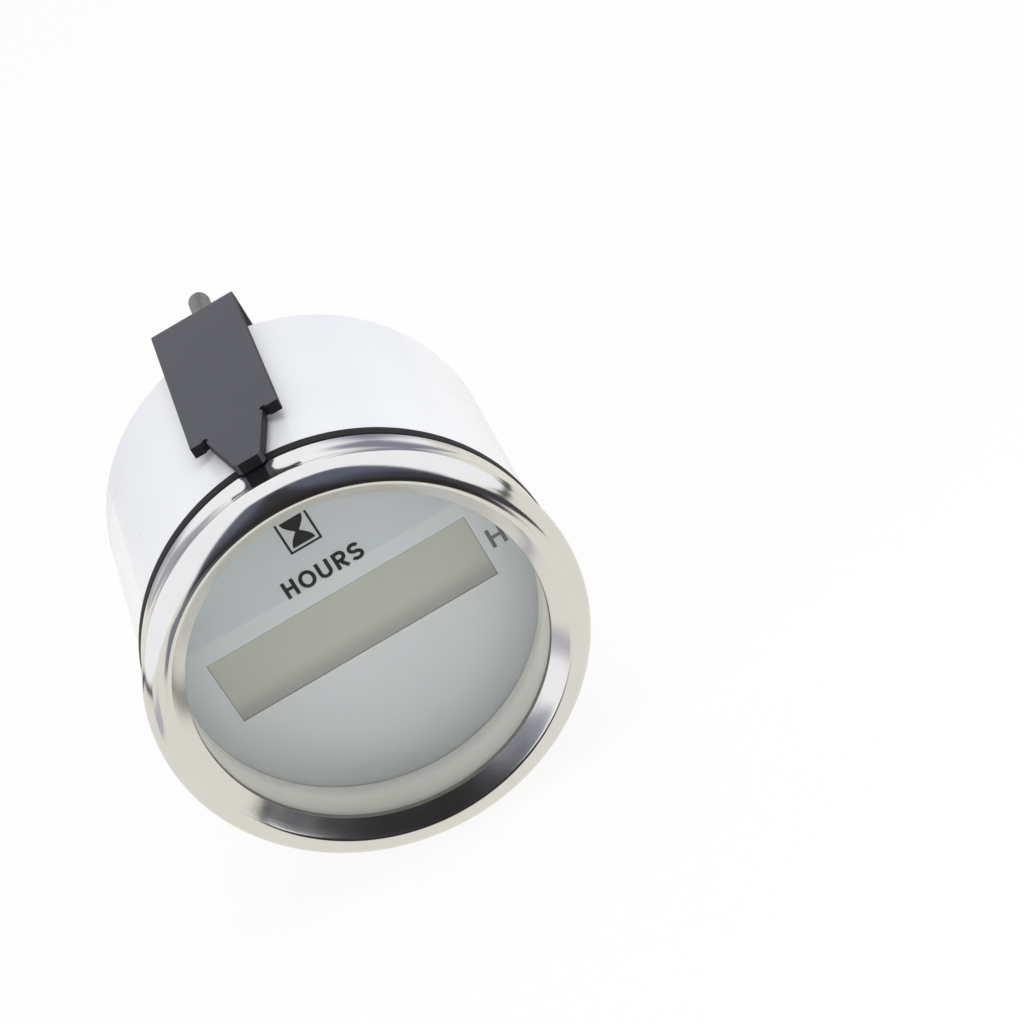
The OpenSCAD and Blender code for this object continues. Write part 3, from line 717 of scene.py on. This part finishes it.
# %% Bezel
SHEET, FLARE, FLARE_L, BEVEL_H, LIP, TURN_R, HEM = 0.5, 0.5, 3.4, 2.0, 0.4, 0.4, 0.1
RIDGE, CORNER_IN, ROLL_FROM = 0.35, 0.29, -88
gasket_lo, gasket_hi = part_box("panel_gasket")
wall_r = gasket_hi.x / MM
bezel_front, bezel_rear = bezel_lo.y / MM, bezel_hi.y / MM
roll_y = bezel_front + ROLL_R
flare_r = wall_r + FLARE
flare_turn = math.degrees(math.acos((flare_r - CREST_R) / ROLL_R))
flare_y = roll_y + ROLL_R * math.sin(math.radians(flare_turn))
flare_arc_r = (FLARE_L**2 + FLARE**2) / (2 * FLARE)
flare_swing = math.degrees(math.asin(FLARE_L / flare_arc_r))
open_y = bezel_front + BEVEL_H
bevel_back = SHEET * math.hypot(BEVEL_W, BEVEL_H) / BEVEL_W
lip_r = wall_r - SHEET - LIP
BEVEL_SHARES, RIDGE_SHARES = (0.02, 0.2, 0.4, 0.6), [i / 10 for i in range(10)]
MIRROR_TURNS, PLAIN_TURNS = 384, 256


def bezel_outline():
    opening, corner = Vector((OPEN_R, open_y)), Vector((CREST_R - CORNER_IN, bezel_front))
    bevel = [tuple(opening.lerp(corner, t)) for t in BEVEL_SHARES]
    roll = arc((CREST_R, roll_y), ROLL_R, ROLL_FROM, flare_turn, 56)
    first, last = corner.lerp(opening, RIDGE / (opening - corner).length), Vector(roll[0])
    ridge = bent(first, corner, last, RIDGE_SHARES)
    flare = arc((wall_r + flare_arc_r, flare_y + FLARE_L), flare_arc_r, 180 + flare_swing, 180, 20)
    turn_in = arc((wall_r - TURN_R, bezel_rear - TURN_R), TURN_R, 0, 90, 8)
    lip = [(lip_r, bezel_rear), (lip_r, bezel_rear - SHEET), (wall_r - SHEET, bezel_rear - SHEET)]
    inside = arc((CREST_R, roll_y), ROLL_R - SHEET, 0, -90, 16)
    hem = [(OPEN_R, open_y + bevel_back), (OPEN_R, open_y + HEM)]
    return bevel + ridge + roll + flare[1:] + turn_in + lip + [(wall_r - SHEET, roll_y)] + inside + hem


fit("bezel_sheet", spun(bezel_outline(), MIRROR_TURNS), POLISHED_STEEL, "gauge", ["bezel"])

# %% [markdown]
# The gasket, lens and trim ring are plain rings and a plain disc with eased edges, taken from the boxes of their
# solids. The trim ring has a sloped shoulder under the lens, which takes the light that falls in at the opening.
# Cylinders with a bevel modifier would do, but the same spin keeps the edges even.

# %% Gasket, lens and trim ring
lens_lo, lens_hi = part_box("lens")
trim_lo, trim_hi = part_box("trim_ring")
case_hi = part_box("case")[1]
CASE_R, CASE_PLAY = case_hi.x / MM, 0.05
GASKET_EASE, LENS_EASE, LENS_RIM = 0.16, 0.2, 1
TRIM_WALL, SHOULDER_L, TRIM_LAND, TRIM_EASE, TRIM_STEPS = 1.8, 2.4, 0.2, 0.8, 6


def ring(in_r, out_r, front, rear, ease):
    return eased([(in_r, front), (out_r, front), (out_r, rear), (in_r, rear)], ease)


def disc(out_r, front, rear, ease):
    corner = EASE_STEPS + 1
    edge = ring(out_r - LENS_RIM, out_r, front, rear, ease)[corner:3 * corner]
    flat_r = out_r - 2 * ease
    return [(0, front), (flat_r, front), *edge, (flat_r, rear), (0, rear)]


gasket = spun(ring(CASE_R + CASE_PLAY, wall_r, gasket_lo.y / MM, gasket_hi.y / MM, GASKET_EASE), PLAIN_TURNS)
fit("panel_gasket_ring", gasket, SEAL_RUBBER, "gauge", ["panel_gasket"], ROUND_CREASE)
pane = spun(disc(lens_hi.x / MM, lens_lo.y / MM, lens_hi.y / MM, LENS_EASE), PLAIN_TURNS)
fit("lens_pane", pane, LENS_CLEAR, "gauge", ["lens"])
trim_r, trim_front, trim_rear = trim_hi.x / MM, trim_lo.y / MM, trim_hi.y / MM
shoulder = [(trim_r - TRIM_WALL, trim_front + SHOULDER_L), (trim_r - TRIM_LAND, trim_front)]
corners = [(trim_r - TRIM_WALL, trim_rear), *shoulder, (trim_r, trim_front), (trim_r, trim_rear)]
trim = spun(eased(corners, TRIM_EASE, TRIM_STEPS), PLAIN_TURNS)
fit("trim_ring_wall", trim, TRIM_GREY, "gauge", ["trim_ring"], ROUND_CREASE)

# %% [markdown]
# Bent, drilled and moulded pieces already have their true shape in the solids, with sharp edges. A copy of the
# solid with its triangles merged and its sharp edges bevelled keeps that shape and gives each edge its own small
# highlight. Broad faces must keep their own normals beside the small bevel faces, or they would shade as if they
# were domed, so a Weighted Normal modifier goes on each copy. The solid itself is never changed.

# %% Ease the edges of a copied solid
WELD, FLAT, SHARP, NUT_SHARP = 2e-6, 0.5, 35, 30


def softened(node, ease, sharp):
    """Mesh work of a copied solid whose sharp edges are rounded by that many millimetres."""
    work = bmesh.new()
    work.from_mesh(frame["nodes"][node].data)
    bmesh.ops.remove_doubles(work, verts=work.verts[:], dist=WELD)
    bmesh.ops.dissolve_limit(work, angle_limit=math.radians(FLAT), verts=work.verts[:], edges=work.edges[:])
    hard = [e for e in work.edges if len(e.link_faces) == 2 and e.calc_face_angle(0) > math.radians(sharp)]
    bmesh.ops.bevel(work, geom=hard, offset=ease * MM, segments=2, profile=0.5, affect="EDGES", clamp_overlap=True)
    return work


def eased_copy(name, node, ease, material, body, sharp=SHARP):
    """Stands a softened copy in the place of its solid."""
    piece = fit(name, softened(node, ease, sharp), material, body, [node])
    weigh = piece.modifiers.new("broad_faces", "WEIGHTED_NORMAL")
    weigh.keep_sharp, weigh.weight = True, 100


eased_copy("case_cup", "case", 0.12, CASE_WHITE, "gauge")
eased_copy("socket_body", "socket_shroud", 0.1, SOCKET_BLACK, "gauge")
eased_copy("bracket_plate", "clamp_bracket", 0.14, BRACKET_COAT, "bracket")
for side in ("upper", "lower"):
    washer, spring, nut = f"{side}_flat_washer", f"{side}_spring_washer", f"{side}_nut"
    eased_copy(f"{washer}_eased", washer, 0.06, ZINC_STEEL, "bracket")
    eased_copy(f"{spring}_eased", spring, 0.08, SPRING_STEEL, "bracket")
    eased_copy(f"{nut}_eased", nut, 0.07, ZINC_STEEL, nut, NUT_SHARP)

# %% [markdown]
# The studs carry a fine right-hand thread. It could be a bump in the finish, but a stud shows in outline against
# the white, so the thread is real: a tube whose radius rises and falls with depth and angle together, one pitch
# each turn. The buried end stays plain.

# %% Threaded studs
PITCH, ROOT_R, STUD_R, HEAD_L, STUD_STEPS, ROWS_PER_PITCH = 0.5, 1.2, 1.5, 3.5, 28, 8
FLANK, POINT, PLAIN_L = 1.6, 0.5, 0.2


def thread_radius(depth, turn, start, end):
    """Radius of the stud at a depth and a share of a turn."""
    wave = (depth / PITCH - turn) % 1
    height = min(1.0, FLANK * (1 - abs(2 * wave - 1)))
    cut = ROOT_R + (STUD_R - ROOT_R) * height
    return min(cut, STUD_R - POINT + (end - depth), STUD_R) if depth > start else STUD_R


def skinned(work, loops):
    """Faces from each loop of points to the next, with both ends closed."""
    for near, far in zip(loops, loops[1:]):
        for i in range(len(near)):
            j = (i + 1) % len(near)
            work.faces.new((near[i], near[j], far[j], far[i]))
    work.faces.new(loops[0])
    work.faces.new(loops[-1][::-1])
    return work


def stud_work(node):
    lo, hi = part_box(node)
    start, end = case_hi.y / MM + PLAIN_L, hi.y / MM
    root_y, middle, head_r = lo.y / MM, (lo.z + hi.z) / 2, hi.x / MM
    rows = [(root_y, head_r), (root_y + HEAD_L, head_r), (root_y + HEAD_L, None)]
    count = int((end - start) / PITCH * ROWS_PER_PITCH)
    rows += [(start + (end - start) * i / count, None) for i in range(count + 1)]
    work = bmesh.new()
    rings = []
    for depth, plain in rows:
        loop = []
        for i in range(STUD_STEPS):
            turn = i / STUD_STEPS
            r = (plain or thread_radius(depth, turn, start, end)) * MM
            angle = 2 * math.pi * turn
            loop.append(work.verts.new((r * math.sin(angle), depth * MM, middle + r * math.cos(angle))))
        rings.append(loop)
    return skinned(work, rings)


for side in ("upper", "lower"):
    stud = f"{side}_stud"
    fit(f"{stud}_thread", stud_work(stud), STUD_STEEL, "gauge", [stud], THREAD_CREASE)

# %% [markdown]
# The dial is printed with the word HOURS, a letter H beside the window, and an hourglass in a box. Ink has next
# to no thickness, but a print made as its own thin piece stays crisp at any size, where a drawn texture would
# blur. The letters are plain strokes of one width, so each is a few lines and arcs that a brush follows, rather
# than a font.

# %% Ink strokes
INK_T = 0.02
DIAL_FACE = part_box("dial")[0].y / MM


def on_dial(work, x, z):
    """A point of the print, in millimetres on the dial's face."""
    return work.verts.new((x * MM, DIAL_FACE * MM, z * MM))


def brushed(work, path, width, closed=False):
    """Lays a flat stroke of that width along points on the dial, in millimetres."""
    spots = [Vector(p) for p in path]
    pairs = []
    for i, spot in enumerate(spots):
        before = spots[i - 1] if i or closed else spot
        after = spots[(i + 1) % len(spots)] if i + 1 < len(spots) or closed else spot
        along = (after - before).normalized()
        aside = Vector((-along.y, along.x)) * width / 2
        pairs.append([on_dial(work, *p) for p in (spot - aside, spot + aside)])
    for near, far in zip(pairs, pairs[1:] + (pairs[:1] if closed else [])):
        work.faces.new((near[0], far[0], far[1], near[1]))


def extruded(work, faces):
    """Extrudes the faces and gives the points of the new ones."""
    grown = bmesh.ops.extrude_face_region(work, geom=faces)["geom"]
    return [g for g in grown if isinstance(g, bmesh.types.BMVert)]


def inked(work):
    """Gives a flat print the thickness of its ink, standing out from the dial."""
    bmesh.ops.remove_doubles(work, verts=work.verts[:], dist=SAME_SPOT)
    for vertex in extruded(work, work.faces[:]):
        vertex.co.y -= INK_T * MM
    return work


print("dial face at", round(DIAL_FACE, 3), "mm, ink", INK_T, "mm thick")

# %% [markdown]
# The display carries a thin polariser film on its front glass, cut to the window, and this film is what is seen.
# It stands nearly level with the dial, so the window's edge throws hardly any shadow on it.

# %% Polariser film
WINDOW_HALF_W, WINDOW_HEAD, FILM_GAP, FILM_SUNK, FILM_EASE = 18.0, 5.75, 0.07, 0.05, 0.15


def polariser():
    work = bmesh.new()
    half, foot, head = WINDOW_HALF_W - FILM_GAP, WINDOW_FOOT + FILM_GAP, WINDOW_HEAD - FILM_GAP
    outline = eased([(-half, foot), (half, foot), (half, head), (-half, head)], FILM_EASE)
    back = work.faces.new([work.verts.new((x * MM, window_lo.y, z * MM)) for x, z in outline])
    for vertex in extruded(work, [back]):
        vertex.co.y = (DIAL_FACE + FILM_SUNK) * MM
    return work


fit("display_polariser", polariser(), DISPLAY_FILM, "gauge")

# %% [markdown]
# Each letter is placed by the middle of its strokes. An H is two stems and a bar between them; O is a closed
# ellipse; U is two stems and half an ellipse; R is a stem, a bowl and a leg; S is two part ellipses that meet in
# the middle.

# %% Letters on the dial
STROKE, FOOT, HEAD = 0.49, 8.02, 10.48
UNIT_STROKE, UNIT_FOOT, UNIT_HEAD = 0.5, -0.2, 2.56
BAR_AT, BAR_SHARE, OVERSHOOT = 0.53, 0.95, 0.02


def letter_h(work, left, right, foot, head, width):
    for x in (left, right):
        brushed(work, [(x, foot), (x, head)], width)
    middle = foot + (head - foot) * BAR_AT
    brushed(work, [(left + width / 2, middle), (right - width / 2, middle)], width * BAR_SHARE)


def word_hours():
    work = bmesh.new()
    half = (HEAD - FOOT - STROKE) / 2 + OVERSHOOT
    middle = (FOOT + HEAD) / 2
    letter_h(work, -4.88, -3.69, FOOT, HEAD, STROKE)
    brushed(work, sweep((-1.94, middle), 0.84, half, 0, 350, 35), STROKE, closed=True)
    bowl = sweep((0.405, FOOT + 0.88), 0.645, 0.67, 180, 360)
    brushed(work, [(-0.24, HEAD), *bowl, (1.05, HEAD)], STROKE)
    brushed(work, [(2.06, FOOT), (2.06, HEAD)], STROKE)
    loop = sweep((2.72, middle + 0.48), 0.54, 0.54, 90, -90)
    brushed(work, [(2.27, HEAD - STROKE / 2), *loop, (2.27, middle - 0.06)], STROKE)
    brushed(work, [(2.62, middle - 0.27), (3.3, FOOT)], STROKE * 1.05)
    upper = sweep((4.72, middle + half / 2), 0.60, half / 2, 22, 270)
    lower = sweep((4.72, middle - half / 2), 0.65, half / 2, 90, -158)
    brushed(work, upper + lower[1:], STROKE)
    return work


def letter_unit():
    work = bmesh.new()
    letter_h(work, 19.39, 20.95, UNIT_FOOT, UNIT_HEAD, UNIT_STROKE)
    return work


fit("print_hours", inked(word_hours()), PRINT_INK, "gauge")
fit("print_unit", inked(letter_unit()), PALE_INK, "gauge")

# %% [markdown]
# The hourglass is two bells, mouth to mouth at the waist, inside a thin square. Its half width follows a sine from
# the waist to the foot, which gives the swelling sides without placing points by eye.

# %% Hourglass print
ICON_X, ICON_Z, ICON_HALF_W, ICON_HALF_H, ICON_LINE = 0.2, 15.7, 2.15, 2.5, 0.3
GLASS_HALF_W, GLASS_HALF_H, WAIST, GLASS_STEPS = 1.5, 1.9, 0.17, 12
SQUARE = [(-1, -1), (1, -1), (1, 1), (-1, 1)]


def hourglass():
    work = bmesh.new()

    def spot(x, z):
        return on_dial(work, ICON_X + x, ICON_Z + z)

    heights = [i / GLASS_STEPS for i in range(-GLASS_STEPS, GLASS_STEPS + 1)]
    widths = [GLASS_HALF_W * (WAIST + (1 - WAIST) * math.sin(math.pi / 2 * abs(t))) for t in heights]
    left = [spot(-w, t * GLASS_HALF_H) for t, w in zip(heights, widths)]
    right = [spot(w, t * GLASS_HALF_H) for t, w in zip(heights, widths)]
    for i in range(len(heights) - 1):
        work.faces.new((left[i], right[i], right[i + 1], left[i + 1]))
    outer = [spot(x * ICON_HALF_W, z * ICON_HALF_H) for x, z in SQUARE]
    inner = [spot(x * (ICON_HALF_W - ICON_LINE), z * (ICON_HALF_H - ICON_LINE)) for x, z in SQUARE]
    for i in range(4):
        j = (i + 1) % 4
        work.faces.new((outer[i], outer[j], inner[j], inner[i]))
    return work


fit("print_hourglass", inked(hourglass()), PRINT_INK, "gauge")

# %% [markdown]
# A bare white label is wrapped on the case's left side; only its upper edge catches the light. It is a patch of
# the cylinder, a hair proud of the wall, with paper a touch duller than the gloss of the case.

# %% Label
LABEL_T, LABEL_FRONT, LABEL_REAR, LABEL_TOP, LABEL_FOOT, LABEL_STEPS = 0.07, 2.0, 30.0, 51.3, 112.0, 40
LABEL_SUNK = 0.01

LABEL_PAPER, place = new_finish("label_paper")
fibre = grain(place, 0.2, 3.0, (1.0, 2.5, 1.0))
cloud = grain(place, 6.0, 2.0)
close(
    place,
    Base_Color=mixed(cloud, seen(238, 239, 241), seen(244, 244, 245)),
    Roughness=0.34 + fibre * 0.12,
    Normal=raised(fibre, 0.003, 0.4),
)


def label_patch():
    work = bmesh.new()
    rows = []
    for i in range(LABEL_STEPS + 1):
        angle = math.radians(LABEL_TOP + (LABEL_FOOT - LABEL_TOP) * i / LABEL_STEPS)
        row = []
        for r, y in ((0, LABEL_FRONT), (LABEL_T, LABEL_FRONT), (LABEL_T, LABEL_REAR), (0, LABEL_REAR)):
            reach = (CASE_R - LABEL_SUNK + r) * MM
            row.append(work.verts.new((-reach * math.sin(angle), y * MM, reach * math.cos(angle))))
        rows.append(row)
    return skinned(work, rows)


fit("case_label", label_patch(), LABEL_PAPER, "gauge")

# %% [markdown]
# Now the studio. The floor is a white sheet: the camera sees it as plain white, with a share of real shading that
# keeps the gauge's shadow on it, and the mirrors see it warmer and a little darker. Rays that carry light between
# surfaces see a normal white floor, so nothing is lit more than it should be.

# %% Floor
FLOOR_GLOW, FLOOR_HALF, FLOOR_GAP, TABLE_TINT = 0.88, 2500, 0.02, (0.81, 0.79, 0.71, 1.0)
FLOOR_Z = cad_box[0].z / MM - FLOOR_GAP

FLOOR_SHEET, place = new_finish("floor_sheet")
path = place.add("ShaderNodeLightPath", {}, {})
mirrored = path.other("Is Glossy Ray")
direct = path.other("Is Camera Ray") + path.other("Is Transmission Ray")
paper = mixed(grain(place, 2.0, 2.0), seen(243, 243, 243), seen(247, 247, 247))
white = place.add("ShaderNodeBsdfDiffuse", {}, {"Color": paper})
tint = mixed(mirrored, WHITE, TABLE_TINT)
glow = place.add("ShaderNodeEmission", {}, {"Color": tint, "Strength": 1.0})
share = direct * FLOOR_GLOW + mirrored
sheet = place.add("ShaderNodeMixShader", {}, {0: share, 1: white, 2: glow})
place.add("ShaderNodeOutputMaterial", {}, {"Surface": sheet})


def board(name, corners, material):
    """A flat four-cornered sheet of the studio, with corners in millimetres."""
    mesh = bpy.data.meshes.new(name)
    mesh.from_pydata([tuple(c * MM for c in p) for p in corners], [], [(0, 1, 2, 3)])
    mesh.materials.append(material)
    sheet = placed(name, mesh)
    return sheet


board("floor", [(x * FLOOR_HALF, y * FLOOR_HALF, FLOOR_Z) for x, y in SQUARE], FLOOR_SHEET)
print("floor at", round(FLOOR_Z, 2), "mm")

# %% [markdown]
# Polished metal only looks like metal when it has something dark to mirror. In front, the white table ends and the
# darker room begins, and that edge draws the dark bands on the bezel and the slanting change on the glass. Cards
# stand for the room: a tall dark one in front with a darker stripe, three close to the bezel for its bevel, grey
# ones behind, and low strips where the table ends at the sides. Only mirror rays see them, so they take no light
# from the gauge and throw no shadow. Their edges fade out and may lean.

# %% Cards for the mirrors
WOBBLE_GRAIN, EDGE_WOBBLE, TONE_WOBBLE, TONE_FROM, TONE_TO = 30.0, 2, 20, 20, 110
EDGE_TOP, SOLID_SHARE = 80, 0.6


def faded(place, low, high, spans):
    """A glow from one colour at the foot to another at the head, fading out over the spans of each axis."""
    tone = grain(place, WOBBLE_GRAIN, 2.0) - 0.5
    spread = axes(place)
    cover = 1.0
    for axis, rise, fall, lean in spans:
        at = spread[axis] + spread[2 - axis] * lean + tone * EDGE_WOBBLE
        cover = ramped(at, *rise) * (1 - ramped(at, *fall)) * cover
    rise = ramped(spread[2] + tone * TONE_WOBBLE, FLOOR_Z + TONE_FROM, FLOOR_Z + TONE_TO)
    clear = place.add("ShaderNodeBsdfTransparent", {}, {})
    glow = place.add("ShaderNodeEmission", {}, {"Color": mixed(rise, low, high), "Strength": 1.0})
    return place.add("ShaderNodeMixShader", {}, {0: cover, 1: clear, 2: glow})


def card(name, ends, low_z, high_z, tones, spans):
    """An upright sheet between two ends that only mirror rays see."""
    material, place = new_finish(name)
    place.add("ShaderNodeOutputMaterial", {}, {"Surface": faded(place, tones[0], tones[-1], spans)})
    (left, near), (right, far) = ends
    corners = [(left, near, low_z), (right, far, low_z), (right, far, high_z), (left, near, high_z)]
    sheet = board(name, corners, material)
    sheet.visible_camera = sheet.visible_diffuse = False
    sheet.visible_transmission = sheet.visible_shadow = False
    print("card:", name, "between", ends, "up to", high_z, "mm")


NO_LIMIT, FAR_LIMIT = (-5000, -4999), (4999, 5000)
card(
    "front_card", [(-160, -80.3), (190, -76.5)], FLOOR_Z, 430, [seen(48, 45, 44), seen(96, 100, 113)],
    [
        (0, (-40, -34), FAR_LIMIT, 0.12),
        (0, NO_LIMIT, (52, 76), -0.22),
        (0, NO_LIMIT, (50, 66), -0.70),
        (2, NO_LIMIT, (230, 420), 0.3),
    ],
)
card(
    "front_dark_stripe", [(-40, -78.7), (40, -77.8)], FLOOR_Z, 330, [seen(44, 41, 39), seen(58, 56, 56)],
    [(0, (-26, -6), (4, 20), 0.0), (2, NO_LIMIT, (180, 330), 0.0)],
)
card(
    "near_card", [(-50, -35), (60, -35)], 0, 16, [seen(45, 43, 42)],
    [(0, (-24, -6), (22, 32), 0.0), (2, (0, 2), (12.5, 15.5), 0.0)],
)
card(
    "near_slate_card", [(-50, -35.6), (10, -35.6)], 0, 16, [seen(128, 131, 141)],
    [(0, (-32, -29), (-6, 4), 0.0), (2, (0, 2), (12.5, 15.5), 0.0)],
)
card(
    "near_low_card", [(20, -45), (75, -45)], -26, 32, [seen(66, 66, 70), seen(62, 62, 65)],
    [(0, (25, 28), (62, 64), 0.0), (2, (22, 25), (46, 50), 0.7)],
)
card(
    "rear_right_card", [(20, 210), (150, 210)], FLOOR_Z, 130, [seen(135, 135, 150)],
    [(0, (40, 64), (100, 132), 0.0), (2, NO_LIMIT, (76, 120), 0.0)],
)
card(
    "rear_left_card", [(-170, 210), (-30, 210)], FLOOR_Z, 90, [seen(165, 165, 172)],
    [(0, (-150, -120), (-70, -40), 0.0), (2, NO_LIMIT, (44, 80), 0.0)],
)
RIGHT_EDGE = [(62, -108), (142, -150), (300, -170), (780, -10), (300, 150), (140, 130)]
EDGES = [
    ("left_soft", [(-106, -80), (-124, -26)], seen(188, 185, 191), 0.2),
    ("left", [(-330, -88), (-480, -10), (-400, 215), (-115, 100)], seen(54, 54, 59), 0.075),
    ("right", RIGHT_EDGE, seen(54, 54, 59), 0.075),
]
for side, edge, tone, rise in EDGES:
    for number, ends in enumerate(zip(edge, edge[1:])):
        reach = sum(math.hypot(*end) for end in ends) / 2
        card(
            f"table_{side}_edge_{number}", ends, FLOOR_Z, EDGE_TOP, [tone],
            [(2, NO_LIMIT, (FLOOR_Z + SOLID_SHARE * rise * reach, FLOOR_Z + rise * reach), 0.0)],
        )

# %% [markdown]
# The light is a large soft box overhead, a second one in front that reaches the dial through the glass, one at each
# side, the white table's own glow, and an even white sky. The sky is white for the camera and the mirrors but
# dimmer as a light, because a sky at full strength would wash out every shadow. The boxes are hidden from mirror
# rays, so that their square edges draw no hard patches on the steel.

# %% World and lamps
SKY_LIGHT, SKY_TINT, TABLE_LAMP_UP = 0.62, (0.985, 0.985, 1.0, 1.0), 0.5


def soft_box(name, at, size, power):
    lamp = bpy.data.lights.new(name, "AREA")
    lamp.size, lamp.energy = size, power
    holder = placed(name, lamp)
    holder.location = Vector(at) * MM
    holder.rotation_mode = "QUATERNION"
    holder.rotation_quaternion = (-holder.location).to_track_quat("-Z", "Y")
    holder.visible_glossy = holder.visible_camera = False
    return holder


def white_sky():
    world = bpy.data.worlds.new("white_sky")
    world.use_nodes = True
    world.node_tree.nodes.clear()
    path = Wire(world.node_tree.nodes.new("ShaderNodeLightPath").outputs["Is Camera Ray"])
    mirrored = path.other("Is Glossy Ray")
    plain = path + mirrored + path.other("Is Transmission Ray")
    strength = plain + (1 - plain) * SKY_LIGHT
    tint = mixed(mirrored, WHITE, SKY_TINT)
    glow = path.add("ShaderNodeBackground", {}, {"Color": tint, "Strength": strength})
    path.add("ShaderNodeOutputWorld", {}, {"Surface": glow})
    return world


bpy.context.scene.world = white_sky()
soft_box("overhead_box", (120, -120, 760), 0.55, 1.8)
soft_box("front_box", (40, -640, 60), 0.5, 1.0)
soft_box("left_box", (-700, -250, 260), 0.5, 1.9)
soft_box("right_box", (700, -60, 240), 0.5, 1.5)
table_box = soft_box("table_box", (0, -95, FLOOR_Z + TABLE_LAMP_UP), 0.15, 0.07)
table_box.rotation_quaternion = Vector((0, 0, 1)).to_track_quat("-Z", "Y")
bpy.context.scene.view_settings.view_transform = "Standard"

# %% [markdown]
